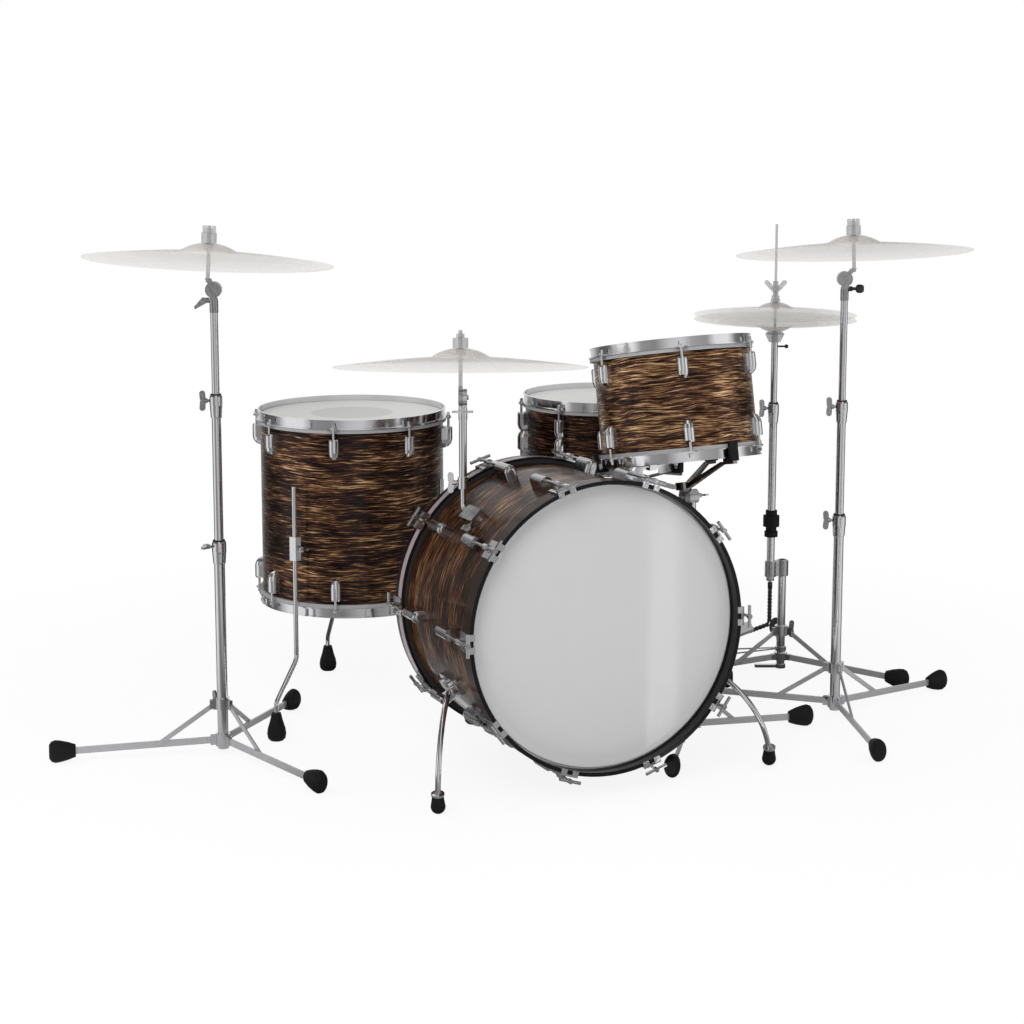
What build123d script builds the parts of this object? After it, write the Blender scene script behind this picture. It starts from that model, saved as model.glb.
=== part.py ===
"""Acoustic drum kit: bass drum, floor tom, rack tom, snare drum, hi-hat and three cymbals.

Frame: +Z up, the bass drum's axis along Y with its front head towards -Y,
origin on the floor under the middle of the kit's bounding box. Millimetres.
Every drum, stand and fitting is laid out on a plane of its own.
"""
import os
from math import cos, hypot, radians, sin

from build123d import *

os.makedirs("parts", exist_ok=True)

# ---------------------------------------------------------------- the floor plan
# Places are measured from the floor under the middle of the bass drum's front hoop.
datum_x, datum_y = -43.357, -554.0      # that floor point, from the kit's origin
floor_tom_at = (-250.0, 812.0)
rack_tom_at = (307.0, 325.0)
snare_at = (326.0, 720.0)
left_stand_at = (-623.0, 571.0)
right_stand_at = (711.0, 314.0)
hihat_at = (800.0, 704.0)             # the pedal column
view_turn = -23.0                     # the stands are turned this far from the bass drum

# ---------------------------------------------------------------- shared drum fittings
clearance = 0.3          # between pieces that move past each other
seat = 0.02              # between pieces that bear on each other
film = 0.5               # drum head film
collar_gap = 0.4         # between a shell and the collar of its head
flesh_width = 7.0        # the head's ring, seen from above
flesh_height = 8.0
rod_radius = 2.8         # tension rods
ear_width = 26.0         # hoop ears, which the tension rods pull on
ear_reach = 20.0
rim_height = 13.0        # hoop rim above the shell's edge
hoop_sheet = 2.2
tom_collar = 8.0         # depth of a tom head's collar
tom_wall = 6.0
lug_width, lug_proud, lug_length = 23.0, 23.0, 48.0
lug_steps = ((0, 0.93), (0.07, 1), (0.6, 1), (0.78, 0.9), (0.92, 0.64), (1, 0.3))   # along, girth
lug_from_edge = 27.0
tom_rod_out = 14.0       # tension rods, out from the shell

# ---------------------------------------------------------------- bass drum, 22 x 14 in
bass_radius = 279.4
bass_depth = 356.0
bass_wall = 7.5
bass_floor_gap = 39.0                  # under the wooden hoops
bass_tip = 1.7                        # the front is tipped up, degrees
bass_collar = 4.0
bass_flesh_width = 8.0
bass_hoop_out = 13.1                   # outside of the wooden hoops, out from the shell
bass_hoop_radius = bass_radius + bass_hoop_out
bass_centre_height = bass_hoop_radius + bass_floor_gap
bass_hoop_proud = 30.0                # wooden hoop beyond the shell's edge
bass_hoop_lip = 8.0                   # wood seen from the front
bass_hoop_skirt = 6.0
bass_lug_count = 10
bass_lug_width, bass_lug_proud, bass_lug_length = 25.0, 30.0, 62.0
bass_lug_from_edge = 59.0
bass_rod_radius = 3.0
claw_width, claw_slot, claw_sheet = 38.0, 12.0, 3.5
claw_reach = 12.0                     # down the outside of the hoop
claw_boss_radius = 6.5
t_handle_length = 46.0
bass_rod_out = 10.0                   # T-rods, out from the hoop
claw_boss_bottom, claw_boss_height = -8.0, 16.0
washer_radius, washer_height = 5.5, 3.0

# spurs
spur_angle = 116.5                    # from the top of the drum, degrees
spur_from_front = 148.0               # along the axis, from the front edge of the shell
spur_block, spur_block_length = 36.0, 84.0
spur_block_proud = 10.0
spur_hub_radius, spur_hub_height = 16.0, 14.0
spur_rod_radius = 5.5
spur_bow = (32.0, -57.0, 8.0)         # the leg's middle, off the line from hub to tip
spur_tip_radius, spur_tip_height = 14.5, 38.0
spur_flange_radius, spur_flange_height = 13.0, 6.0
spur_neck_radius = 11.0
spur_left_foot = (-344.0, 39.0)
spur_right_foot = (392.0, 53.0)

# ---------------------------------------------------------------- toms and snare
floor_radius, floor_depth, floor_lugs = 203.2, 406.4, 8
floor_rim_top = 684.0
floor_lug_turn = -119.0
floor_leg_turns = (-141.5, -51.5, 83.5)
rack_radius, rack_depth, rack_lugs = 165.1, 228.6, 6
rack_centre_height = 727.5
rack_tilt, rack_roll = -10.6, -1.4
rack_lug_turn = 9.7
snare_radius, snare_depth, snare_lugs = 177.8, 139.7, 8
snare_rim_top = 698.0
snare_lug_turn = 34.0

# floor tom legs
leg_rod_radius = 5.0
leg_out = 28.0                        # legs, out from the shell
leg_foot_radius = 310.0               # floor circle of the feet
leg_top, leg_bend, leg_ankle = 540.0, 160.0, 82.0
leg_bend_radius = 24.0
leg_bracket_height = 405.0
leg_bracket_width, leg_bracket_tall = 26.0, 52.0
leg_foot_height, leg_foot_girth = 60.0, 20.5

# ---------------------------------------------------------------- tripods and tubes
tube_wall = 1.2
upper_radius, middle_radius, base_radius = 7.95, 9.55, 11.1
tube_bottom = 12.0
foot_circle = 337.0                   # cymbal stands: floor circle of the feet
drum_foot_circle = 272.0              # snare and tom stands
hihat_foot_circle = 312.0
foot_radius, foot_half_width, foot_length = 24.0, 17.0, 54.0
foot_steps = ((0, 0.56), (0.3, 0.8), (0.6, 0.96), (0.78, 1), (0.92, 0.88), (1, 0.62))   # along, girth
leg_bar_height, leg_bar_thick = 14.0, 4.6
brace_bar_height, brace_bar_thick = 12.0, 3.0
hub_radius, hub_height, hub_middle = 15.5, 26.0, 31.0
collar_height, collar_middle = 24.0, 109.0
brace_joint = 0.40                    # of the way out along a leg
ear_cheek = 2.5
clamp_wall, clamp_height = 3.2, 47.0
bush_height = 2.5                      # plastic bush on top of a clamp
wing_span, wing_height, wing_thick, wing_stalk = 38.0, 12.0, 4.0, 8.0

# cymbal stands
base_top = 455.0
left_middle_top, right_middle_top = 760.0, 708.0
cymbal_edge_height = 1033.0           # above the floor on the two tall stands
cymbal_above_pivot = 57.0             # its edge above the tilter's pivot
ratchet_height = cymbal_edge_height - cymbal_above_pivot
tilter_neck = 41.0                    # from the upper tube's top to the pivot
upper_top = ratchet_height - tilter_neck
insertion = 150.0                     # each tube inside the one below
ratchet_radius, ratchet_thick = 16.5, 8.5
neck_radius, neck_bolt_drop = 9.0, 21.5       # tilter's neck; its bolt, below the pivot
lever_bolt_reach, lever_bolt_drop, lever_bolt_thick = 30.0, 16.0, 5.0
knob_reach = 15.0
tilter_rod_bottom = 14.0              # above the pivot
left_rod_offset, right_rod_offset = -13.0, 21.0
left_cymbal_tilt, right_cymbal_tilt = 3.0, -2.2
left_legs_turn, right_legs_turn = 70.8, 36.3

# cymbals
cymbal_radius, cymbal_sheet = 254.0, 1.5
cymbal_rise, bell_rise, bell_radius = 19.0, 18.0, 59.0
cymbal_hole = 5.8
rod_tip_radius = 4.0
felt_radius, felt_height = 15.5, 20.0
under_felt_radius, under_felt_height = 10.0, 8.0
nut_radius, nut_height = 12.0, 15.0

# cymbal arm on the bass drum: an L-rod in a bracket, and a tube on the rod
arm_angle, arm_from_front = 44.1, 222.0       # from the top; the L-rod's corner along the drum
arm_rod_radius, arm_rod_out, arm_rod_bend = 5.25, 12.6, 18.0
arm_rod_reach = 84.0
arm_box_length, arm_box_width, arm_box_proud = 66.0, 32.0, 24.0
arm_box_gap = 22.0                    # from the L-rod's upright to the box
arm_post_radius = 7.95
arm_post_bottom = 588.0
arm_collar_radius, arm_collar_height = 10.5, 24.0
arm_cymbal_edge = 833.0
arm_above_pivot = 61.0                # the cymbal's edge above the pivot
arm_ratchet_height = arm_cymbal_edge - arm_above_pivot
arm_neck = 39.0                       # from the post's top to the pivot
arm_top = arm_ratchet_height - arm_neck
arm_rod_drop = 33.0                   # from the post's top to the L-rod's end
arm_rod_top = arm_top - arm_rod_drop
arm_cymbal_tilt = -4.4

# tom and snare stands
post_radius = 9.55
drum_base_radius = 11.1
drum_base_top = 330.0
tom_legs_turn, snare_legs_turn = -124.7, 95.0
tilter_radius, tilter_disc, tilter_block = 15.0, 12.0, 22.0
basket_drop = 75.0                    # drum rim down to the tilter's pivot
hub_drop = 52.0
basket_hub_radius, basket_hub_height = 17.0, 16.0
arm_bar_width, arm_bar_thick = 11.0, 6.0
grip_width, grip_wall, grip_pad = 20.0, 8.0, 7.0
grip_height = 40.0
tom_grip_turn, snare_grip_turn = -80.3, 191.5

# hi-hat
hihat_offset = 33.0                   # main tube, sideways from the pedal column
hihat_legs_turn = -35.2
hihat_base_top, hihat_bracket_bottom, bracket_radius = 268.0, 231.0, 13.5
hihat_hub_height = 18.0
hihat_collar_middle = 95.0
hihat_main_top = 651.0
coupler_bottom, coupler_top, coupler_radius = 329.0, 393.0, 19.5
coupler_steps = ((0.82, 0, 0.2), (0.66, 0.2, 0.39), (1, 0.39, 0.8), (0.7, 0.8, 1))   # girth, from, to
hat_radius, hat_rise, hat_bell_rise, hat_bell_radius = 190.5, 14.0, 15.0, 42.0
lower_hat_edge, upper_hat_edge = 850.0, 863.0
seat_radius, seat_height = 23.0, 19.0
seat_felt_height = 4.0
pull_rod_radius, pull_rod_top, pull_rod_bottom = 3.0, 1075.0, 217.0
clutch_radius, clutch_length = 6.5, 42.0
clutch_felt_radius, clutch_felt_height = 11.0, 7.0
lower_felt_radius = 8.5
chain_radius, chain_bend, chain_tail = 6.0, 13.0, 54.0
pedal_toe, pedal_heel = 42.0, 262.0   # out from the main tube
pedal_toe_height, pedal_heel_height = 108.0, 24.0
pedal_width, pedal_thick, pedal_knuckle = 82.0, 7.0, 8.0
heel_plate_length, heel_plate_thick = 80.0, 6.0
pedal_pin_radius = 3.0
yoke_height, yoke_spread, yoke_rod_radius = 50.0, 26.0, 1.8

# snare strainer
strainer_turn = 101.5
strainer_width, strainer_proud, strainer_tall = 28.0, 22.0, 46.0
strainer_from_edge = 24.0             # above the snare-side edge of the shell
wire_width, wire_reach, wire_thick = 38.0, 158.0, 1.0
strap_width, strap_thick = 20.0, 0.6
gate_width = 46.0
lever_length, lever_width, lever_thick = 46.0, 14.0, 4.0


# ---------------------------------------------------------------- planes
def at(x, y, z=0.0, turn=0.0):
    """A plane facing up over a point of the floor plan."""
    return Plane(Location((x + datum_x, y + datum_y, z), (0, 0, turn)))


def moved(plane, x=0.0, y=0.0, z=0.0, rx=0.0, ry=0.0, rz=0.0):
    """The plane, shifted and turned within itself."""
    return Plane(plane.location * Location((x, y, z), (rx, ry, rz)))


def side(plane, y=0.0):
    """The plane's X-Z side: sketch x runs across it and sketch y along its normal."""
    origin = plane.origin + plane.y_dir * y
    return Plane(origin=origin, x_dir=plane.x_dir, z_dir=-plane.y_dir)


def ends(plane, depth):
    """The two planes at a drum's edges, both facing out of the drum."""
    top = plane.offset(depth / 2)
    foot = plane.offset(-depth / 2).origin
    bottom = Plane(origin=foot, x_dir=plane.x_dir, z_dir=-plane.z_dir)
    return top, bottom


# ---------------------------------------------------------------- building blocks
def turned(plane, *outline):
    """Solid of revolution about the plane's normal, from (radius, height) points."""
    with BuildPart() as part:
        with BuildSketch(side(plane)):
            with BuildLine():
                Polyline(*outline, close=True)
            make_face()
        revolve(axis=Axis(plane.origin, plane.z_dir))
    return part.part


def tube(plane, outer, inner, start, end):
    """A tube, or a rod where inner is 0, along the plane's normal."""
    with BuildPart() as part:
        with BuildSketch(plane.offset(start)):
            Circle(outer)
            if inner:
                Circle(inner, mode=Mode.SUBTRACT)
        extrude(amount=end - start)
    return part.part


def plate(plane, outline, thick):
    """A flat plate of the given outline, centred on the plane."""
    with BuildPart() as part:
        with BuildSketch(plane):
            with BuildLine():
                Polyline(*outline, close=True)
            make_face()
        extrude(amount=thick / 2, both=True)
    return part.part


def bent_rod(plane, radius, bend, *points):
    """A round rod through points of the plane's own space, its corners bent."""
    route = [plane.from_local_coords(Vector(*point)) for point in points]
    with BuildPart() as part:
        with BuildLine() as path:
            FilletPolyline(*route, radius=bend)
        with BuildSketch(Plane(origin=path.line @ 0, z_dir=path.line % 0)):
            Circle(radius)
        sweep()
    return part.part


def around(piece, plane, radius, count, start):
    """Copies of a piece about the plane's normal."""
    with BuildPart(plane) as ring:
        with PolarLocations(radius, count, start_angle=start):
            add(piece)
    return ring.part


def save(name, *pieces):
    """Write one node; its solids stay separate."""
    solids = [solid for piece in pieces for solid in piece.solids()]
    node = solids[0] if len(solids) == 1 else Compound(children=solids)
    node.label = name
    export_step(node, f"parts/{name}.step")
    return node


# ---------------------------------------------------------------- drums
def shell(plane, radius, wall, depth):
    """A drum shell with its bearing edges cut at both ends."""
    half = depth / 2
    crown = 1.5
    return turned(
        plane,
        (radius - wall, -half + wall * 0.8), (radius - crown, -half), (radius, -half + crown),
        (radius, half - crown), (radius - crown, half), (radius - wall, half - wall * 0.8),
    )


def head(plane, radius, collar, width):
    """A drum head: film, collar and the flesh hoop that the drum's hoop pulls on."""
    inner = radius + collar_gap
    skin = inner + film
    return turned(
        plane,
        (0, 0), (inner, 0), (inner, -collar - flesh_height), (radius + width, -collar - flesh_height),
        (radius + width, -collar), (skin, -collar), (skin, film), (0, film),
    )


def wooden_hoop(plane):
    """Bass drum hoop: its lip bears on the flesh hoop, its skirt goes round it."""
    lip = bass_hoop_radius - bass_hoop_lip
    skirt = bass_radius + bass_flesh_width + clearance
    bearing = seat - bass_collar
    round_off = 1.5
    return turned(
        plane,
        (lip, bearing), (lip, bass_hoop_proud - round_off), (lip + round_off, bass_hoop_proud),
        (bass_hoop_radius - round_off, bass_hoop_proud), (bass_hoop_radius, bass_hoop_proud - round_off),
        (bass_hoop_radius, -bass_collar - bass_hoop_skirt), (skirt, -bass_collar - bass_hoop_skirt),
        (skirt, bearing),
    )


def flanged_hoop(plane, radius, count, start):
    """Pressed steel hoop: rolled rim, wall, flange on the flesh hoop, and ears for the rods."""
    inner = radius + 1.6
    outer = inner + hoop_sheet
    flange = radius + flesh_width + 2.6
    bottom = seat - tom_collar
    top = bottom + hoop_sheet
    rim = outer + 2.0
    ring = turned(
        plane,
        (inner, bottom), (flange, bottom), (flange, top), (outer, top),
        (outer, rim_height - hoop_sheet), (rim, rim_height - hoop_sheet), (rim, rim_height),
        (inner, rim_height),
    )
    with BuildPart() as ear:
        with BuildSketch(Plane.XY.offset(bottom)):
            with BuildLine():
                Polyline(
                    (flesh_width + 1, -ear_width / 2), (ear_reach - 7, -ear_width / 2),
                    (ear_reach, -ear_width / 4), (ear_reach, ear_width / 4),
                    (ear_reach - 7, ear_width / 2), (flesh_width + 1, ear_width / 2), close=True,
                )
            make_face()
            with Locations((tom_rod_out, 0)):
                Circle(rod_radius + clearance, mode=Mode.SUBTRACT)
        extrude(amount=hoop_sheet)
    with BuildPart() as hoop:
        add(ring)
        add(around(ear.part, plane, radius, count, start))
    return hoop.part


def tom_lug():
    """A tom lug: x out from the shell, z towards the hoop, its flat end at z = 0."""
    with BuildPart() as lug:
        for along, girth in lug_steps:
            half = lug_width / 2 * girth
            out = lug_proud * girth
            with BuildSketch(Plane.XY.offset(-lug_length * along)):
                with BuildLine():
                    Polyline((out / 2, half), (seat, half), (seat, -half), (out / 2, -half))
                    ThreePointArc((out / 2, -half), (out, 0), (out / 2, half))
                make_face()
        loft(ruled=True)
        with Locations(Plane.XY):
            with Locations((tom_rod_out, 0)):
                Hole(rod_radius + clearance, depth=16)
    return lug.part


def tom_rod():
    """A tension rod in place on its lug: square head and washer on the hoop's ear."""
    ear_top = hoop_sheet - tom_collar + 2 * seat
    with BuildPart() as rod:
        with BuildSketch(Plane.XY.offset(-lug_from_edge - 14)):
            Circle(rod_radius)
        extrude(amount=lug_from_edge + 14 + ear_top)
        with BuildSketch(Plane.XY.offset(ear_top)):
            Circle(6)
        extrude(amount=1.6)
        with BuildSketch(Plane.XY.offset(ear_top + 1.6)):
            Circle(4.4)
        extrude(amount=3)
        with BuildSketch(Plane.XY.offset(ear_top + 4.6)):
            Rectangle(5.6, 5.6)
        extrude(amount=6.4)
    return rod.part


def gated(hoop, end, radius, turn):
    """The hoop with two gates cut in its wall, where the snares' straps pass."""
    with BuildPart() as part:
        add(hoop)
        with BuildSketch(moved(end, rz=turn).offset(clearance)):
            Rectangle(2 * radius + 4 * flesh_width, gate_width)
        extrude(amount=2 * rim_height, mode=Mode.SUBTRACT)
    return part.part


def drum(name, plane, radius, depth, count, start, gates=None):
    """A tom or snare drum: shell, two heads, two hoops, lugs and tension rods."""
    lug = tom_lug()
    rod = tom_rod()
    heads, hoops, lugs, rods = [], [], [], []
    for end, turn in zip(ends(plane, depth), (start, -start)):
        heads.append(head(end, radius, tom_collar, flesh_width))
        hoops.append(flanged_hoop(end, radius, count, turn))
        lugs.append(around(lug, end.offset(-lug_from_edge), radius, count, turn))
        rods.append(around(rod, end, radius + tom_rod_out, count, turn))
    if gates is not None:
        hoops[1] = gated(hoops[1], end, radius, -gates)
    save(f"{name}_shell", shell(plane, radius, tom_wall, depth))
    save(f"{name}_heads", *heads)
    save(f"{name}_hoops", *hoops)
    save(f"{name}_lugs", *lugs)
    save(f"{name}_tension_rods", *rods)


# ---------------------------------------------------------------- bass drum
bass_plane = Plane(
    origin=(
        datum_x,
        datum_y + (bass_depth / 2 + bass_hoop_proud) * cos(radians(bass_tip)),
        bass_centre_height,
    ),
    x_dir=(1, 0, 0),
    z_dir=(0, -cos(radians(bass_tip)), sin(radians(bass_tip))),
)
bass_front, bass_rear = ends(bass_plane, bass_depth)


def bass_lug():
    """A bullet-shaped bass drum lug, flat towards the hoop and round at the other end."""
    half = bass_lug_width / 2
    bore = bass_hoop_radius + bass_rod_out - bass_radius
    with BuildPart() as lug:
        with BuildSketch(Plane.XY):
            with BuildLine():
                Line((seat, half), (seat, -half))
                Line((seat, -half), (bass_lug_proud - half, -half))
                ThreePointArc(
                    (bass_lug_proud - half, -half), (bass_lug_proud, 0), (bass_lug_proud - half, half)
                )
                Line((bass_lug_proud - half, half), (seat, half))
            make_face()
        extrude(amount=-bass_lug_length)
        tail = lug.faces().sort_by(Axis.Z)[0]
        fillet(tail.edges().filter_by(lambda edge: edge.center().X > 1), half * 0.75)
        with Locations((bore, 0, 0)):
            Hole(bass_rod_radius + clearance, depth=18)
    return lug.part


def bass_claw():
    """A claw hook on the hoop: x out from the hoop, z out of the drum."""
    face = bass_hoop_proud + seat
    with BuildPart() as claw:
        with BuildSketch(Plane.XZ):
            with BuildLine():
                Polyline(
                    (-9, face), (seat, face), (seat, -claw_reach), (claw_sheet, -claw_reach),
                    (claw_sheet, face + claw_sheet), (-9, face + claw_sheet), close=True,
                )
            make_face()
        extrude(amount=claw_width / 2, both=True)
        with BuildSketch(Plane.XY.offset(claw_boss_bottom)):
            with Locations((bass_rod_out, 0)):
                Circle(claw_boss_radius)
            with Locations((bass_rod_out / 2 + 1, 0)):
                Rectangle(bass_rod_out - 2, claw_boss_radius * 1.6)
        extrude(amount=claw_boss_height)
        with BuildSketch(Plane.XY.offset(-claw_reach - 1)):
            with Locations((bass_rod_out, 0)):
                Circle(bass_rod_radius + clearance)
        extrude(amount=claw_boss_height + claw_reach, mode=Mode.SUBTRACT)
        with BuildSketch(Plane.XY.offset(face - 1)):
            with Locations((-5, 0)):
                Rectangle(12, claw_slot)
        extrude(amount=claw_sheet + 2, mode=Mode.SUBTRACT)
    return claw.part


def bass_t_rod():
    """A T-handled rod from its lug out through its claw."""
    inner_end = -bass_lug_from_edge - 16
    washer = claw_boss_bottom + claw_boss_height + seat
    outer_end = bass_hoop_proud + 8
    with BuildPart() as rod:
        with BuildSketch(Plane.XY.offset(inner_end)):
            Circle(bass_rod_radius)
        extrude(amount=outer_end - inner_end)
        with BuildSketch(Plane.XY.offset(washer)):
            Circle(washer_radius)
        extrude(amount=washer_height)
        with BuildSketch(Plane.XY.offset(outer_end)):
            Circle(5)
        extrude(amount=9)
        with BuildSketch(Plane.XZ.offset(-t_handle_length / 2)):
            with Locations((0, outer_end + 5)):
                Circle(3.4)
        extrude(amount=t_handle_length)
    return rod.part


def build_bass():
    lug, claw, t_rod = bass_lug(), bass_claw(), bass_t_rod()
    heads, lugs, claws, t_rods = [], [], [], []
    for name, end in (("front", bass_front), ("rear", bass_rear)):
        heads.append(head(end, bass_radius, bass_collar, bass_flesh_width))
        save(f"bass_{name}_hoop", wooden_hoop(end))
        lugs.append(around(lug, end.offset(-bass_lug_from_edge), bass_radius, bass_lug_count, 0))
        claws.append(around(claw, end, bass_hoop_radius, bass_lug_count, 0))
        t_rods.append(around(t_rod, end, bass_hoop_radius + bass_rod_out, bass_lug_count, 0))
    save("bass_shell", shell(bass_plane, bass_radius, bass_wall, bass_depth))
    save("bass_heads", *heads)
    save("bass_lugs", *lugs)
    save("bass_claws", *claws)
    save("bass_t_rods", *t_rods)


def wing_bolt(plane, reach, twist=0.0):
    """A wing bolt along the plane's normal; its end is at the plane."""
    blade = side(moved(plane, rz=twist))
    with BuildPart() as bolt:
        with BuildSketch(plane):
            Circle(3)
        extrude(amount=reach)
        with BuildSketch(plane.offset(reach - wing_thick)):
            Circle(5)
        extrude(amount=wing_thick + 3)
        with BuildSketch(blade):
            for way in (-1, 1):
                with Locations(Location((way * wing_span / 4, reach + wing_height / 2, 0), (0, 0, way * 5))):
                    SlotOverall(wing_span / 2 + 4, wing_height)
        extrude(amount=wing_thick / 2, both=True)
    return bolt.part


def knob_bolt(plane, reach):
    """A bolt along the plane's normal with a round knob on its outer end."""
    return turned(
        plane, (0, 0), (5.5, 0), (5.5, reach * 0.45), (3.5, reach * 0.6), (3.5, reach),
        (7, reach + 1), (9.5, reach + 5), (9.5, reach + 12), (7, reach + 17), (0, reach + 17),
    )


def lever_bolt(plane, reach, drop):
    """A bolt along the plane's normal with a flat lever that points out and down."""
    with BuildPart() as bolt:
        with BuildSketch(plane):
            Circle(5.5)
        extrude(amount=8)
        with BuildSketch(side(plane)):
            with BuildLine():
                Polyline(
                    (-5, 4), (5, 8), (6, 14), (drop + 3, reach + 1), (drop - 3, reach), (-8, 10),
                    close=True,
                )
            make_face()
        extrude(amount=lever_bolt_thick / 2, both=True)
    return bolt.part


def build_spur(name, sign, foot_at):
    """A folding spur: its hub turns on the bracket about an axis square to the shell."""
    angle = 90 - sign * spur_angle
    mount = moved(bass_front, z=-spur_from_front, rz=angle)
    out = moved(mount, x=bass_radius + seat, ry=90)
    back = (spur_block_length - spur_block) / 2
    with BuildPart() as block:
        with BuildSketch(out.offset(-3)):
            with Locations((back, 0)):
                RectangleRounded(spur_block_length, spur_block, 8)
        extrude(amount=spur_block_proud * 0.7 + 3)
        with BuildSketch(out):
            Circle(spur_hub_radius + 1)
        extrude(amount=spur_block_proud)
        with BuildSketch(out):
            with Locations((spur_block_length - spur_block, 0)):
                Circle(spur_hub_radius * 0.7)
        extrude(amount=spur_block_proud * 1.5)
        with BuildSketch(bass_front):
            Circle(bass_radius + seat)
        extrude(amount=-bass_depth, mode=Mode.SUBTRACT)
    hub_plane = out.offset(spur_block_proud + clearance)
    start = hub_plane.offset(spur_hub_height / 2).origin
    tip = Vector(foot_at[0] + datum_x, foot_at[1] + datum_y, spur_tip_radius)
    bow_x, bow_y, bow_z = spur_bow
    middle = (start + tip) * 0.5 + Vector(sign * bow_x, bow_y, bow_z)
    with BuildPart() as spur:
        with BuildLine() as path:
            ThreePointArc(start, middle, tip)
        with BuildSketch(Plane(origin=path.line @ 0, z_dir=path.line % 0)):
            Circle(spur_rod_radius)
        sweep()
        add(turned(
            hub_plane, (0, 0), (spur_hub_radius, 0), (spur_hub_radius, spur_hub_height * 0.5),
            (spur_hub_radius * 0.85, spur_hub_height * 0.85), (spur_hub_radius * 0.5, spur_hub_height),
            (0, spur_hub_height),
        ))
    rod_end = Plane(origin=tip, z_dir=(path.line % 1) * -1)
    neck = spur_tip_height - spur_tip_radius
    with BuildPart() as rubber:
        with BuildSketch(side(rod_end)):
            with BuildLine():
                Line((0, neck), (spur_neck_radius, neck))
                Line((spur_neck_radius, neck), (spur_tip_radius, 0))
                CenterArc((0, 0), spur_tip_radius, 270, 90)
                Line((0, -spur_tip_radius), (0, neck))
            make_face()
        revolve(axis=Axis(rod_end.origin, rod_end.z_dir))
    with BuildPart() as rod:
        add(spur.part)
        with BuildSketch(rod_end.offset(-2 * spur_tip_radius)):
            Circle(4 * spur_tip_radius)
        extrude(amount=2 * spur_tip_radius + neck, mode=Mode.SUBTRACT)
        add(turned(
            rod_end.offset(neck + seat), (0, 0), (spur_neck_radius, 0), (spur_flange_radius, 1),
            (spur_flange_radius, spur_flange_height - 1), (spur_rod_radius + 2, spur_flange_height),
            (0, spur_flange_height),
        ))
    bolt = wing_bolt(hub_plane.offset(spur_hub_height + seat), 6)
    save(f"spur_{name}", rod.part.solids().sort_by(SortBy.VOLUME)[-1], bolt, rubber.part)
    return block.part


# ---------------------------------------------------------------- stands
leg_between = (-leg_bar_thick / 2, leg_bar_thick / 2)
brace_between = (leg_bar_thick / 2, leg_bar_thick / 2 + brace_bar_thick)


def tripod(plane, circle, start, collar_height_at=collar_middle):
    """Three leg bars, three braces and three rubber feet about a stand's column."""
    inner = hub_radius + 1
    foot_inner = circle - foot_length * 0.62
    tip_height = foot_radius
    half = leg_bar_height / 2
    legs, braces, feet = [], [], []
    joint = circle * brace_joint
    joint_height = hub_middle + (tip_height - hub_middle) * brace_joint
    brace_half = brace_bar_height / 2
    for step in range(3):
        arm = moved(plane, rz=start + 120 * step)
        legs.append(plate(side(arm), (
            (inner, hub_middle - half), (foot_inner, tip_height - half),
            (foot_inner, tip_height + half), (inner, hub_middle + half),
        ), leg_bar_thick))
        beside = (leg_bar_thick + brace_bar_thick) / 2
        braces.append(plate(side(arm, beside), (
            (inner, collar_height_at - brace_half), (joint, joint_height - brace_half),
            (joint + 8, joint_height), (joint, joint_height + brace_half),
            (inner, collar_height_at + brace_half),
        ), brace_bar_thick))
        along = moved(arm, x=foot_inner, z=tip_height, ry=90)
        with BuildPart() as foot:
            for share, girth in foot_steps:
                with BuildSketch(along.offset(foot_length * share)):
                    Ellipse(foot_radius * girth, foot_half_width * girth)
            loft(ruled=True)
        feet.append(foot.part)
    return legs, braces, feet


def hub(plane, bore, middle, height, start, held):
    """A cast ring on the column with three pairs of cheeks; held is what lies between them."""
    low = middle - height / 2
    with BuildPart() as ring:
        with BuildSketch(plane.offset(low)):
            Circle(hub_radius)
            Circle(bore + seat, mode=Mode.SUBTRACT)
        extrude(amount=height)
        for step in range(3):
            arm = moved(plane, rz=start + 120 * step)
            for offset in (held[0] - ear_cheek / 2 - seat, held[1] + ear_cheek / 2 + seat):
                with BuildSketch(side(arm, offset)):
                    with Locations((hub_radius + 4, middle)):
                        Rectangle(14, height * 0.8)
                extrude(amount=ear_cheek / 2, both=True)
    return ring.part


def clamp(plane, lower, upper, top):
    """The sleeve on a tube's top end that grips the next tube."""
    bottom = top - clamp_height
    split = top - clamp_height * 0.3
    outer = lower + clamp_wall
    return turned(
        plane,
        (lower + seat, bottom), (outer - 1.9, bottom), (outer - 1.2, bottom + 2),
        (outer, bottom + clamp_height * 0.45), (outer + 0.6, bottom + clamp_height * 0.55),
        (outer + 0.6, top - 3), (outer - 1, top), (upper + clearance, top),
        (upper + clearance, split), (lower + seat, split),
    )


def column(plane, lower, upper, bottom, top, bolt_turn=180.0, twist=0.0):
    """A tube with its clamp, the clamp's bush and its wing bolt."""
    tube_top = top - clamp_height * 0.3 - seat
    outer = lower + clamp_wall
    bolt_at = moved(plane, z=top - clamp_height * 0.25, rz=bolt_turn)
    return [
        tube(plane, lower, upper + clearance + 0.05, bottom, tube_top),
        clamp(plane, lower, upper, top),
        wing_bolt(moved(bolt_at, x=outer + 0.6 + seat, ry=90), wing_stalk, twist),
        tube(plane, outer - 1.6, upper + clearance, top + seat, top + bush_height),
    ]


def stand_base(plane, lower, upper, top, legs_turn, bolt_turn=180.0, twist=0.0):
    """The lowest tube of a tripod with its hub, collar, clamp and bolts."""
    collar_bolt = moved(plane, z=collar_middle, rz=legs_turn + 60)
    parts = column(plane, lower, upper, tube_bottom, top, bolt_turn, twist)
    parts += [
        hub(plane, lower, hub_middle, hub_height, legs_turn, leg_between),
        hub(plane, lower, collar_middle, collar_height, legs_turn, brace_between),
        wing_bolt(moved(collar_bolt, x=hub_radius + seat, ry=90), wing_stalk),
    ]
    return parts


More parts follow.
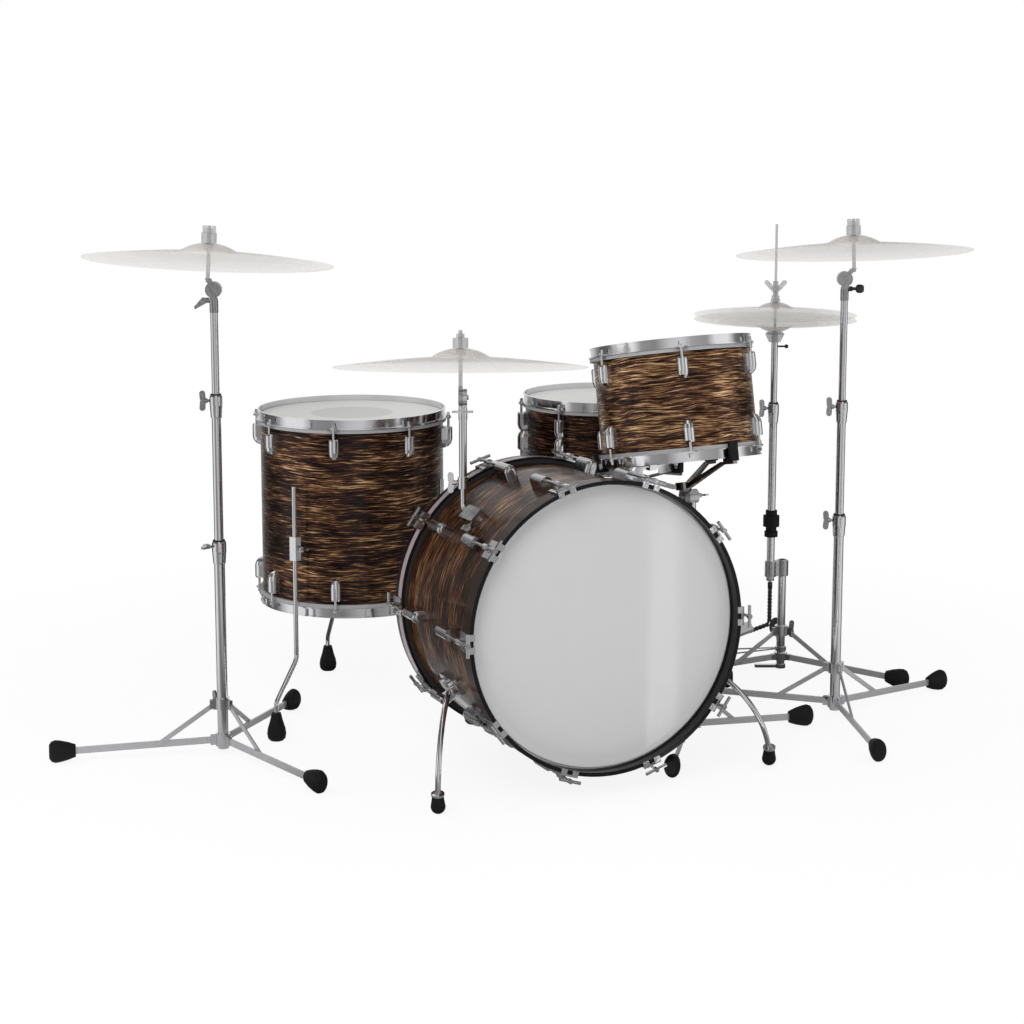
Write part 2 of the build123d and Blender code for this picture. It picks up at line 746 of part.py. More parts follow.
def cymbal(plane, radius, rise, bell, bell_r):
    """A cymbal: cup, shoulder and bow; the plane is level with its edge."""
    with BuildPart() as disc:
        with BuildSketch(side(plane)):
            with BuildLine():
                for drop in (0, cymbal_sheet):
                    top = rise + bell - drop
                    ThreePointArc(
                        (cymbal_hole, top), (bell_r * 0.55, top - bell * 0.26), (bell_r, rise - drop)
                    )
                    ThreePointArc(
                        (bell_r, rise - drop), ((bell_r + radius) / 2, rise * 0.58 - drop),
                        (radius, -drop),
                    )
                Line((cymbal_hole, rise + bell), (cymbal_hole, rise + bell - cymbal_sheet))
                Line((radius, 0), (radius, -cymbal_sheet))
            make_face()
        revolve(axis=Axis(plane.origin, plane.z_dir))
    return disc.part


def tilter(pivot, offset, edge):
    """A cymbal tilter's moving half: ratchet disc, arm, rod, felts and wing nut.

    pivot is centred on the ratchet, tilted with the cymbal; edge is the height
    of the cymbal's edge above the pivot.
    """
    face = clearance / 2
    rod_bottom = tilter_rod_bottom
    top = edge + cymbal_rise + bell_rise
    rod_plane = moved(pivot, x=offset, y=face + ratchet_thick / 2)
    with BuildPart() as body:
        with BuildSketch(side(pivot, face + ratchet_thick / 2)):
            Circle(ratchet_radius)
            with BuildLine():
                Polyline(
                    (-6, 0), (6, 0), (offset + 6, rod_bottom + 8), (offset - 6, rod_bottom + 8),
                    close=True,
                )
            make_face()
        extrude(amount=ratchet_thick / 2, both=True)
        with BuildSketch(rod_plane.offset(rod_bottom)):
            Circle(rod_tip_radius)
        extrude(amount=top + felt_height + nut_height - rod_bottom)
        with BuildSketch(rod_plane.offset(top - cymbal_sheet - clearance - under_felt_height - 5)):
            Circle(10)
        extrude(amount=4.9)
    lower_felt = tube(
        rod_plane, under_felt_radius, rod_tip_radius + seat,
        top - cymbal_sheet - clearance - under_felt_height, top - cymbal_sheet - clearance,
    )
    felt = tube(rod_plane, felt_radius, rod_tip_radius + seat, top + clearance, top + felt_height)
    nut_bottom = top + felt_height + seat
    with BuildPart() as nut:
        with BuildSketch(rod_plane.offset(nut_bottom)):
            Circle(8)
            Circle(rod_tip_radius + seat, mode=Mode.SUBTRACT)
        extrude(amount=nut_height * 0.55)
        with BuildSketch(side(rod_plane)):
            for way in (-1, 1):
                with Locations((way * nut_radius * 0.78, nut_bottom + nut_height * 0.5)):
                    RectangleRounded(nut_radius * 0.7, nut_height, 2.5)
        extrude(amount=2, both=True)
    return [body.part, lower_felt, felt, nut.part], rod_plane


def fixed_ratchet(pivot, tube_top):
    """The half of a tilter that stands on its tube: a disc with its pivot bolt, on a neck."""
    face = clearance / 2
    neck_top = -ratchet_radius - clearance
    with BuildPart() as part:
        with BuildSketch(side(pivot, -face - ratchet_thick / 2)):
            Circle(ratchet_radius)
            with Locations((0, neck_top / 2 - 2)):
                Rectangle(neck_radius * 1.6, 4 - neck_top)
        extrude(amount=ratchet_thick / 2, both=True)
        with BuildSketch(side(pivot, -face - ratchet_thick)):
            RegularPolygon(5.5, 6)
        extrude(amount=3)
        add(turned(
            pivot, (0, tube_top - 6), (neck_radius, tube_top - 6), (neck_radius, neck_top - 8),
            (neck_radius - 1, neck_top), (0, neck_top),
        ))
    return part.part


def cymbal_stand(name, place, legs_turn, middle_top, offset, tilt, twist, neck_bolt):
    """A three-tube cymbal stand with its cymbal; returns its lowest pieces."""
    floor = at(*place, turn=view_turn)
    base = stand_base(floor, base_radius, middle_radius, base_top, legs_turn, twist=twist)
    middle = column(floor, middle_radius, upper_radius, base_top - insertion, middle_top)
    level_pivot = floor.offset(ratchet_height)
    pivot = moved(floor, z=ratchet_height, ry=tilt)
    moving, rod_plane = tilter(pivot, offset, cymbal_edge_height - ratchet_height)
    upper = [
        tube(floor, upper_radius, upper_radius - tube_wall, middle_top - insertion,
             upper_top - 6 - seat),
        fixed_ratchet(level_pivot, upper_top - ratchet_height),
        neck_bolt(moved(level_pivot, z=-neck_bolt_drop)),
    ]
    save(f"{name}_stand_middle_tube", *middle)
    save(f"{name}_stand_upper_tube", *upper)
    save(f"{name}_stand_tilter", *moving)
    save(f"{name}_cymbal", cymbal(
        rod_plane.offset(cymbal_edge_height - ratchet_height),
        cymbal_radius, cymbal_rise, bell_rise, bell_radius,
    ))
    return base, tripod(floor, foot_circle, legs_turn)


def left_neck_bolt(level):
    return lever_bolt(
        moved(level, x=-neck_radius - seat, ry=-90), lever_bolt_reach, -lever_bolt_drop
    )


def right_neck_bolt(level):
    return knob_bolt(moved(level, x=neck_radius + seat, ry=90), knob_reach)


# ---------------------------------------------------------------- drum stands
def basket(rim, ring_radius, grip_turn):
    """A drum basket: tilter disc, stem, hub, three arms and their rubber grips.

    rim faces up at the drum's lower rim; the tilt axis runs along its X.
    """
    grip_inner = ring_radius + flesh_width + 2.6 + clearance
    grip_outer = grip_inner + grip_wall
    arm_top = -grip_pad - seat
    arm_level = arm_top - arm_bar_thick
    half_hub = basket_hub_height / 2
    disc = Plane(
        origin=rim.offset(-basket_drop).origin, x_dir=rim.y_dir, z_dir=rim.x_dir
    )
    with BuildPart() as frame:
        with BuildSketch(rim.offset(-hub_drop - half_hub)):
            Circle(basket_hub_radius)
        extrude(amount=basket_hub_height)
        with BuildSketch(rim.offset(-basket_drop)):
            Rectangle(tilter_disc, tilter_radius * 1.4)
        extrude(amount=basket_drop - hub_drop)
        with BuildSketch(disc):
            Circle(tilter_radius)
        extrude(amount=tilter_disc / 2, both=True)
        for step in range(3):
            arm = moved(rim, rz=grip_turn + 120 * step)
            with BuildSketch(side(arm)):
                with BuildLine():
                    Polyline(
                        (basket_hub_radius - 4, -hub_drop - 5), (basket_hub_radius + 6, -hub_drop - 5),
                        (grip_inner - 34, arm_level), (grip_outer - 1, arm_level),
                        (grip_outer - 1, arm_top), (grip_inner - 36, arm_top),
                        (basket_hub_radius + 2, -hub_drop + 5), (basket_hub_radius - 4, -hub_drop + 5),
                        close=True,
                    )
                make_face()
            extrude(amount=arm_bar_width / 2, both=True)
    grips = []
    for step in range(3):
        arm = moved(rim, rz=grip_turn + 120 * step)
        grips.append(plate(side(arm), (
            (grip_inner - 20, -grip_pad), (grip_outer, -grip_pad),
            (grip_outer, grip_height - grip_pad), (grip_inner, grip_height - grip_pad),
            (grip_inner, -seat), (grip_inner - 20, -seat),
        ), grip_width))
    return [frame.part, *grips]


def drum_stand(name, legs_turn, rim, ring_radius, grip_turn):
    """A low stand with a basket; the column stands beside the basket's tilter disc."""
    out = tilter_disc / 2 + clearance + tilter_block / 2
    pivot = rim.offset(-basket_drop).origin + rim.x_dir * out
    floor = Plane(Location((pivot.X, pivot.Y, 0)))
    base = stand_base(floor, drum_base_radius, post_radius, drum_base_top, legs_turn, 90)
    block = Plane(origin=pivot, x_dir=rim.y_dir, z_dir=rim.x_dir)
    bolt = wing_bolt(block.offset(tilter_block / 2 + seat), wing_stalk)
    bottom = drum_base_top - insertion
    with BuildPart() as post:
        with BuildSketch(block):
            Circle(tilter_radius)
        extrude(amount=tilter_block / 2, both=True)
        with BuildSketch(floor.offset(bottom)):
            Circle(post_radius)
        extrude(amount=pivot.Z - bottom)
        with BuildSketch(floor.offset(bottom)):
            Circle(post_radius - tube_wall)
        extrude(amount=pivot.Z - bottom - 2 * tilter_radius, mode=Mode.SUBTRACT)
    save(f"{name}_stand_post", post.part, bolt)
    save(f"{name}_basket", *basket(rim, ring_radius, grip_turn))
    return base, tripod(floor, drum_foot_circle, legs_turn)


# ---------------------------------------------------------------- cymbal arm on the bass drum
def build_bass_arm():
    """Bracket on the shell, L-rod, post, tilter and cymbal."""
    on_shell = moved(bass_front, rz=90 + arm_angle)
    rod_out = bass_radius + arm_rod_out
    corner = moved(on_shell, x=rod_out, z=-arm_from_front).origin
    rod_end = moved(on_shell, x=rod_out, z=arm_rod_reach - arm_from_front).origin
    floor = Plane(Location((corner.X, corner.Y, 0), (0, 0, view_turn + 90)))
    box_middle = arm_box_gap + arm_box_length / 2 - arm_from_front
    out = moved(on_shell, x=bass_radius, z=box_middle, ry=90)
    with BuildPart() as box:
        with BuildSketch(out.offset(-3)):
            RectangleRounded(arm_box_length, arm_box_width, 5)
        extrude(amount=arm_box_proud + 3)
        with BuildSketch(bass_front):
            Circle(bass_radius + seat)
        extrude(amount=-bass_depth, mode=Mode.SUBTRACT)
        with BuildSketch(moved(on_shell, x=rod_out)):
            Circle(arm_rod_radius + clearance)
        extrude(amount=-bass_depth, mode=Mode.SUBTRACT)
    bolt_at = moved(out, x=-arm_box_length * 0.25, y=arm_box_width / 2 + seat, z=arm_rod_out, rx=-90)
    save("bass_cymbal_bracket", box.part, wing_bolt(bolt_at, wing_stalk))
    upright = Vector(corner.X, corner.Y, arm_rod_top)
    save("bass_cymbal_l_rod", bent_rod(Plane.XY, arm_rod_radius, arm_rod_bend, rod_end, corner, upright))

    pivot = moved(floor, z=arm_ratchet_height, ry=-arm_cymbal_tilt)
    level = floor.offset(arm_ratchet_height)
    moving, rod_plane = tilter(pivot, 0, arm_cymbal_edge - arm_ratchet_height)
    bore = arm_rod_radius + clearance
    collar_top = arm_post_bottom + arm_collar_height
    collar_bolt = moved(floor, z=arm_post_bottom + arm_collar_height / 2, rz=90)
    save(
        "bass_cymbal_post",
        tube(floor, arm_post_radius, bore, arm_post_bottom, arm_top - 6 - seat),
        tube(floor, arm_collar_radius, arm_post_radius + seat, arm_post_bottom, collar_top),
        wing_bolt(moved(collar_bolt, x=arm_collar_radius + seat, ry=90), 8),
        fixed_ratchet(level, arm_top - arm_ratchet_height),
        wing_bolt(moved(level, x=-neck_radius - seat, z=-neck_bolt_drop - 4, ry=-90), wing_stalk, 90),
    )
    save("bass_cymbal_tilter", *moving)
    save("bass_cymbal", cymbal(
        rod_plane.offset(arm_cymbal_edge - arm_ratchet_height),
        cymbal_radius, cymbal_rise, bell_rise, bell_radius,
    ))


# ---------------------------------------------------------------- floor tom legs
def build_floor_tom(plane):
    """The drum, its leg brackets and its three bent legs with their feet."""
    drum("floor_tom", plane, floor_radius, floor_depth, floor_lugs, floor_lug_turn)
    brackets, legs, feet = [], [], []
    floor = at(*floor_tom_at)
    knee = floor_radius + leg_out
    half = leg_bracket_width / 2
    for turn in floor_leg_turns:
        arm = moved(floor, rz=turn)
        with BuildPart() as bracket:
            with BuildSketch(arm.offset(leg_bracket_height - leg_bracket_tall / 2)):
                with BuildLine():
                    Polyline(
                        (floor_radius - 4, -half), (knee - 4, -half), (knee + 8, -half * 0.6),
                        (knee + 8, half * 0.6), (knee - 4, half), (floor_radius - 4, half), close=True,
                    )
                make_face()
                Circle(floor_radius + seat, mode=Mode.SUBTRACT)
                with Locations((knee, 0)):
                    Circle(leg_rod_radius + clearance, mode=Mode.SUBTRACT)
            extrude(amount=leg_bracket_tall)
        brackets.append(bracket.part)
        bolt_at = moved(arm, x=knee, y=half + seat, z=leg_bracket_height, rx=-90)
        brackets.append(wing_bolt(bolt_at, wing_stalk))
        legs.append(bent_rod(
            arm, leg_rod_radius, leg_bend_radius,
            (knee, 0, leg_top), (knee, 0, leg_bend), (leg_foot_radius, 0, leg_ankle),
            (leg_foot_radius, 0, leg_foot_height - 12),
        ))
        foot = moved(arm, x=leg_foot_radius)
        socket = leg_rod_radius + seat
        feet.append(turned(
            foot,
            (0, 0), (leg_foot_girth * 0.7, 0), (leg_foot_girth * 0.92, 5), (leg_foot_girth, 15),
            (leg_foot_girth * 0.93, 26), (leg_foot_girth * 0.66, 44), (10, leg_foot_height),
            (socket, leg_foot_height), (socket, leg_foot_height - 12 - seat),
            (0, leg_foot_height - 12 - seat),
        ))
    save("floor_tom_leg_brackets", *brackets)
    save("floor_tom_legs", *legs)
    return feet


# ---------------------------------------------------------------- snare fittings
def build_snare_fittings(plane):
    """Strainer, butt plate, lever, and the wires with their straps."""
    bottom = ends(plane, snare_depth)[1]
    strap_out = snare_radius + flesh_width + 2.6 + 1.2
    low = -strainer_from_edge - strainer_tall
    bodies = []
    for turn, tall in ((0, strainer_tall), (180, strainer_tall * 0.6)):
        arm = moved(bottom, rz=-strainer_turn + turn)
        with BuildPart() as body:
            with BuildSketch(arm.offset(-strainer_from_edge - tall)):
                with Locations((snare_radius + strainer_proud / 2 - 2, 0)):
                    Rectangle(strainer_proud + 4, strainer_width)
                Circle(snare_radius + seat, mode=Mode.SUBTRACT)
            extrude(amount=tall)
            with BuildSketch(arm.offset(-strainer_from_edge - tall)):
                with Locations((strap_out + strap_thick / 2, 0)):
                    Rectangle(strap_thick + 0.8, strap_width + 2)
            extrude(amount=tall * 2, mode=Mode.SUBTRACT)
        bodies.append(body.part)
    arm = moved(bottom, rz=-strainer_turn)
    hinge_out = snare_radius + strainer_proud + lever_thick
    hinge_height = low + 8
    lever = moved(arm, x=hinge_out, z=hinge_height)
    with BuildPart() as handle:
        with BuildSketch(side(lever)):
            Circle(lever_thick - clearance)
            with Locations((0, lever_length / 2)):
                Rectangle(lever_thick, lever_length)
        extrude(amount=lever_width / 2, both=True)
    film_face = film + 0.6
    with BuildPart() as wires:
        with BuildSketch(moved(bottom, rz=-strainer_turn).offset(film_face)):
            Rectangle(2 * wire_reach, wire_width)
        extrude(amount=wire_thick)
        for turn in (0, 180):
            arm = moved(bottom, rz=-strainer_turn + turn)
            end = film_face + wire_thick
            with BuildSketch(side(arm)):
                with BuildLine():
                    Polyline(
                        (wire_reach - 8, end), (strap_out + strap_thick, end),
                        (strap_out + strap_thick, -strainer_from_edge - 12),
                        (strap_out, -strainer_from_edge - 12), (strap_out, end - strap_thick),
                        (wire_reach - 8, end - strap_thick), close=True,
                    )
                make_face()
            extrude(amount=strap_width / 2, both=True)
    save("snare_strainer", *bodies)
    save("snare_lever", handle.part)
    save("snare_wires", wires.part)


# ---------------------------------------------------------------- hi-hat
def build_heel_plate(pedal):
    """Heel plate with its ears and the footboard's hinge pin."""
    heel_from = pedal_heel - heel_plate_length * 0.3
    heel_to = heel_from + heel_plate_length
    ear = pedal_width / 2 + clearance + ear_cheek / 2
    pin_half = ear + ear_cheek
    with BuildPart() as part:
        add(plate(side(pedal), (
            (heel_from, 0), (heel_to, 0), (heel_to, heel_plate_thick), (heel_from, heel_plate_thick),
        ), pedal_width + 8))
        for y in (-ear, ear):
            add(plate(side(pedal, y), (
                (pedal_heel - 10, heel_plate_thick), (pedal_heel + 10, heel_plate_thick),
                (pedal_heel + 7, pedal_heel_height + 7), (pedal_heel - 7, pedal_heel_height + 7),
            ), ear_cheek))
        with BuildSketch(side(pedal, -pin_half)):
            with Locations((pedal_heel, pedal_heel_height)):
                Circle(pedal_pin_radius)
        extrude(amount=-2 * pin_half)
    rest = heel_plate_thick + yoke_rod_radius + seat
    column_at = pedal.to_local_coords(at(*hihat_at).origin)
    wires = [
        bent_rod(
            pedal, yoke_rod_radius, 20.0,
            (column_at.X + middle_radius + 2, column_at.Y + y * 0.2, yoke_height),
            (120, y, yoke_height - 7), (heel_from - 2, y, rest), (heel_from + 12, y, rest),
        )
        for y in (-yoke_spread, yoke_spread)
    ]
    return [part.part, *wires]


def build_hihat():
    """Hi-hat stand with its pedal; returns its feet, legs and braces."""
    floor = at(*hihat_at, turn=view_turn)
    main = at(hihat_at[0] - hihat_offset, hihat_at[1])
    pedal = moved(main, rz=180 + view_turn)
    slope = (pedal_toe_height - pedal_heel_height) / (pedal_heel - pedal_toe)
    with BuildPart() as bracket:
        with BuildSketch(main.offset(hihat_bracket_bottom)):
            Circle(bracket_radius)
            with Locations((hihat_offset, 0)):
                Circle(bracket_radius + 1)
            with Locations((hihat_offset / 2, 0)):
                Rectangle(hihat_offset, 14)
            Circle(middle_radius + seat, mode=Mode.SUBTRACT)
            with Locations((hihat_offset, 0)):
                Circle(middle_radius + seat, mode=Mode.SUBTRACT)
        extrude(amount=hihat_base_top - hihat_bracket_bottom)
    with BuildPart() as coupler:
        for girth, low, high in coupler_steps:
            with BuildSketch(main.offset(coupler_bottom + low * (coupler_top - coupler_bottom))):
                Circle(coupler_radius * girth)
                Circle(middle_radius + seat, mode=Mode.SUBTRACT)
            extrude(amount=(high - low) * (coupler_top - coupler_bottom))
    collar_bolt = moved(floor, z=hihat_collar_middle, rz=hihat_legs_turn + 60)
    main_bottom = hihat_bracket_bottom - 2
    bar = moved(floor, rz=180)
    save(
        "hihat_base",
        *column(main, middle_radius, upper_radius, main_bottom, hihat_main_top, 180 + view_turn),
        coupler.part,
        tube(main, middle_radius, pull_rod_radius + clearance, main_bottom - 8, main_bottom - seat),
        bracket.part,
        tube(floor, middle_radius, middle_radius - tube_wall, tube_bottom, hihat_base_top + 2),
        hub(floor, middle_radius, hub_middle, hihat_hub_height, hihat_legs_turn, leg_between),
        hub(floor, middle_radius, hihat_collar_middle, collar_height, hihat_legs_turn, brace_between),
        wing_bolt(moved(collar_bolt, x=hub_radius + seat, ry=90), wing_stalk),
        tube(floor, middle_radius + 2.5, 0, 2, tube_bottom - seat),
        tube(floor, middle_radius + 3.5, middle_radius + seat, yoke_height - 5, yoke_height + 5),
        plate(side(bar), (
            (middle_radius + 2, 3), (62, 3), (62, tube_bottom - 2), (middle_radius + 2, tube_bottom - 2),
        ), 12),
        *build_heel_plate(pedal),
    )
    half = pedal_thick / 2
    with BuildPart() as board:
        with BuildSketch(side(pedal)):
            with BuildLine():
                Polyline(
                    (pedal_toe, pedal_toe_height - half), (pedal_heel, pedal_heel_height - half),
                    (pedal_heel, pedal_heel_height + half), (pedal_toe, pedal_toe_height + half),
                    close=True,
                )
            make_face()
            with Locations((pedal_heel, pedal_heel_height)):
                Circle(pedal_knuckle)
                Circle(pedal_pin_radius + clearance, mode=Mode.SUBTRACT)
        extrude(amount=pedal_width / 2, both=True)
    save("hihat_footboard", board.part)
    drop = half + (chain_radius + clearance) * hypot(1, slope)
    corner = pedal_toe_height + slope * pedal_toe - drop
    save("hihat_chain", bent_rod(
        pedal, chain_radius, chain_bend,
        (0, 0, pull_rod_bottom - seat), (0, 0, corner), (chain_tail, 0, corner - slope * chain_tail),
    ))
    save("hihat_pull_rod", tube(main, pull_rod_radius, 0, pull_rod_bottom, pull_rod_top))

    lower_bell = lower_hat_edge - hat_rise - hat_bell_rise
    felt_base = lower_bell - clearance - seat_felt_height
    with BuildPart() as cup:
        with BuildSketch(main.offset(felt_base - seat_height - seat)):
            Circle(seat_radius * 0.6)
        with BuildSketch(main.offset(felt_base - seat)):
            Circle(seat_radius)
        loft()
        with BuildSketch(main.offset(felt_base - seat_height - 1)):
            Circle(upper_radius + seat)
        extrude(amount=seat_height + 2, mode=Mode.SUBTRACT)
    save(
        "hihat_height_tube",
        tube(main, upper_radius, upper_radius - tube_wall, hihat_main_top - insertion, felt_base),
        cup.part,
        tube(main, seat_radius - 3, pull_rod_radius + 2, felt_base + seat, felt_base + seat_felt_height),
    )
    lower = Plane(origin=main.offset(lower_hat_edge).origin, x_dir=main.x_dir, z_dir=-main.z_dir)
    upper = main.offset(upper_hat_edge)
    hat = (hat_radius, hat_rise, hat_bell_rise, hat_bell_radius)
    save("hihat_bottom_cymbal", cymbal(lower, *hat))
    save("hihat_top_cymbal", cymbal(upper, *hat))
    bell_top = upper_hat_edge + hat_rise + hat_bell_rise
    nut_top = bell_top - cymbal_sheet - clutch_felt_height - clearance
    felts = [
        tube(main, clutch_felt_radius, cymbal_hole - 0.5, bell_top + clearance,
             bell_top + clutch_felt_height),
        tube(main, lower_felt_radius, cymbal_hole - 0.5, nut_top,
             bell_top - cymbal_sheet - 2 * clearance),
    ]
    with BuildPart() as clutch:
        with BuildSketch(main.offset(nut_top - 8)):
            Circle(cymbal_hole - 0.6)
        extrude(amount=bell_top + clutch_felt_height - nut_top + 8 + clutch_length)
        with BuildSketch(main.offset(nut_top - 8)):
            Circle(9)
        extrude(amount=8 - seat)
        with BuildSketch(main.offset(bell_top + clutch_felt_height + seat)):
            Circle(clutch_radius + 3)
        extrude(amount=8)
        with BuildSketch(main.offset(bell_top + clutch_felt_height + seat)):
            Circle(clutch_radius)
        extrude(amount=clutch_length)
        with BuildSketch(main.offset(nut_top - 9)):
            Circle(pull_rod_radius + clearance)
        extrude(amount=clutch_length + 60, mode=Mode.SUBTRACT)
    nut_low = bell_top + clutch_felt_height + clutch_length * 0.45
    with BuildPart() as wing:
        with BuildSketch(main.offset(nut_low)):
            Circle(clutch_radius + 3.5)
            Circle(clutch_radius + seat, mode=Mode.SUBTRACT)
        extrude(amount=10)
        with BuildSketch(side(moved(main, rz=view_turn))):
            for way in (-1, 1):
                with Locations(Location((way * (clutch_radius + 8.5), nut_low + 14, 0), (0, 0, way * 48))):
                    SlotOverall(28, 11)
        extrude(amount=wing_thick / 2, both=True)
    save("hihat_clutch", clutch.part, wing.part, *felts)
    return tripod(floor, hihat_foot_circle, hihat_legs_turn, hihat_collar_middle)


# ---------------------------------------------------------------- the kit
build_bass()
brackets = [
    build_spur("left", -1, spur_left_foot),
    build_spur("right", 1, spur_right_foot),
]
save("bass_spur_brackets", *brackets)
build_bass_arm()

floor_middle = floor_rim_top - rim_height - floor_depth / 2
floor_feet = build_floor_tom(at(*floor_tom_at, z=floor_middle))

rack_plane = moved(at(*rack_tom_at, z=rack_centre_height), rx=rack_tilt, ry=rack_roll)
drum("rack_tom", rack_plane, rack_radius, rack_depth, rack_lugs, rack_lug_turn)

snare_middle = snare_rim_top - rim_height - snare_depth / 2
snare_plane = at(*snare_at, z=snare_middle)
drum("snare", snare_plane, snare_radius, snare_depth, snare_lugs, snare_lug_turn, strainer_turn)
build_snare_fittings(snare_plane)

stands = [
    cymbal_stand(
        "left", left_stand_at, left_legs_turn, left_middle_top, left_rod_offset,
        left_cymbal_tilt, 90, left_neck_bolt,
    ),
    cymbal_stand(
        "right", right_stand_at, right_legs_turn, right_middle_top, right_rod_offset,
        right_cymbal_tilt, 0, right_neck_bolt,
    ),
]
rack_rim = moved(rack_plane, z=-rack_depth / 2 - rim_height)
snare_rim = moved(snare_plane, z=-snare_depth / 2 - rim_height)
drum_stands = [
    drum_stand("tom", tom_legs_turn, rack_rim, rack_radius, tom_grip_turn),
    drum_stand("snare", snare_legs_turn, snare_rim, snare_radius, snare_grip_turn),
]
hihat_tripod = build_hihat()

tripods = [stand[1] for stand in stands + drum_stands] + [hihat_tripod]
save("tripod_legs", *[leg for legs, braces, feet in tripods for leg in legs])
save("tripod_braces", *[brace for legs, braces, feet in tripods for brace in braces])
save("rubber_feet", *[foot for legs, braces, feet in tripods for foot in feet], *floor_feet)
save("cymbal_stand_base_tubes", *[piece for base, tripod_parts in stands for piece in base])
save("drum_stand_base_tubes", *[piece for base, tripod_parts in drum_stands for piece in base])
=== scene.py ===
from math import pi, radians

import bmesh
import bpy
import numpy as np
from mathutils import Matrix, Vector


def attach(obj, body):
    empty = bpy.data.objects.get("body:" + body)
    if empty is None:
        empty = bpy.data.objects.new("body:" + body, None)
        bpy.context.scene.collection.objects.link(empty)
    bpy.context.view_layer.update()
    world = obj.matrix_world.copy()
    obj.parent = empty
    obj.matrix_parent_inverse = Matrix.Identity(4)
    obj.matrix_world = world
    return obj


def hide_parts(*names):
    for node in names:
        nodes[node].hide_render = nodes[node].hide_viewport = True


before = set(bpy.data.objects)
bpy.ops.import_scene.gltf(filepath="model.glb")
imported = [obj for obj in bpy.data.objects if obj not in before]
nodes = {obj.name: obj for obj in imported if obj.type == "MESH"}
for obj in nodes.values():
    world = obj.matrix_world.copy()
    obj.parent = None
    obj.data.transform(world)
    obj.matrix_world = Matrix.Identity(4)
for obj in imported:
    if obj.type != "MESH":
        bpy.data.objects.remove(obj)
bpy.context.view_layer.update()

BASS = ((-0.04336, -0.34609, 0.3315), (88.3, 0, 0))
FLOOR_TOM = ((-0.29336, 0.258, 0.4678), (0, 0, 0))
RACK_TOM = ((0.26364, -0.229, 0.7275), (-10.6, -1.4, 0))
SNARE = ((0.28264, 0.166, 0.61515), (0, 0, 0))
LEFT_CYMBAL = ((-0.67384, 0.02496, 1.0336), (1.173, 2.761, 0))
RIGHT_CYMBAL = ((0.68666, -0.24329, 1.03376), (-0.86, -2.025, 0))
BASS_CYMBAL = ((-0.24879, -0.28986, 0.83282), (-4.051, 1.718, 0))
HATS = ((0.72364, 0.15, 0.855), (0, 0, 0))
CYMBAL_RADIUS, HAT_RADIUS = 0.254, 0.1905
BRONZE_OPACITY = 0.42  # the photo shows the backdrop through its cymbals
HOOP_FACE = 0.2900  # the outer side of the bass drum's hoops lies beyond this radius
# The front stretch is the front hoop's inlaid band; the rear stretch is a painted highlight, a pale
# line along the edge of a rear hoop that is plain black.
FRONT_INLAY, REAR_EDGE_HIGHLIGHT = (0.162, 0.203), (-0.192, -0.173)  # stretches of the bass drum's axis

# ---------------------------------------------------------------- camera and the room round it
CAMERA, CAMERA_TURN = (-1.7427, -4.0709, 1.320), 23
MIRRORED_Y = 2.981  # where the bass drum's front head shows the camera's mirror image
ROOM = (
    (0.0, 0.85), (0.085, 0.65), (0.15, 0.10), (0.22, 0.16), (0.265, 1.0), (0.335, 1.0),
    (0.37, 0.34), (0.43, 0.28), (0.485, 0.66), (0.535, 0.74), (0.575, 0.42), (0.64, 0.34),
    (0.68, 0.90), (0.745, 0.95), (0.79, 0.20), (0.87, 0.08), (0.93, 0.5), (1.0, 0.85),
)
WHITE, AMBIENT = (1, 1, 1), (0.62, 0.62, 0.62)  # what the camera and matt surfaces see


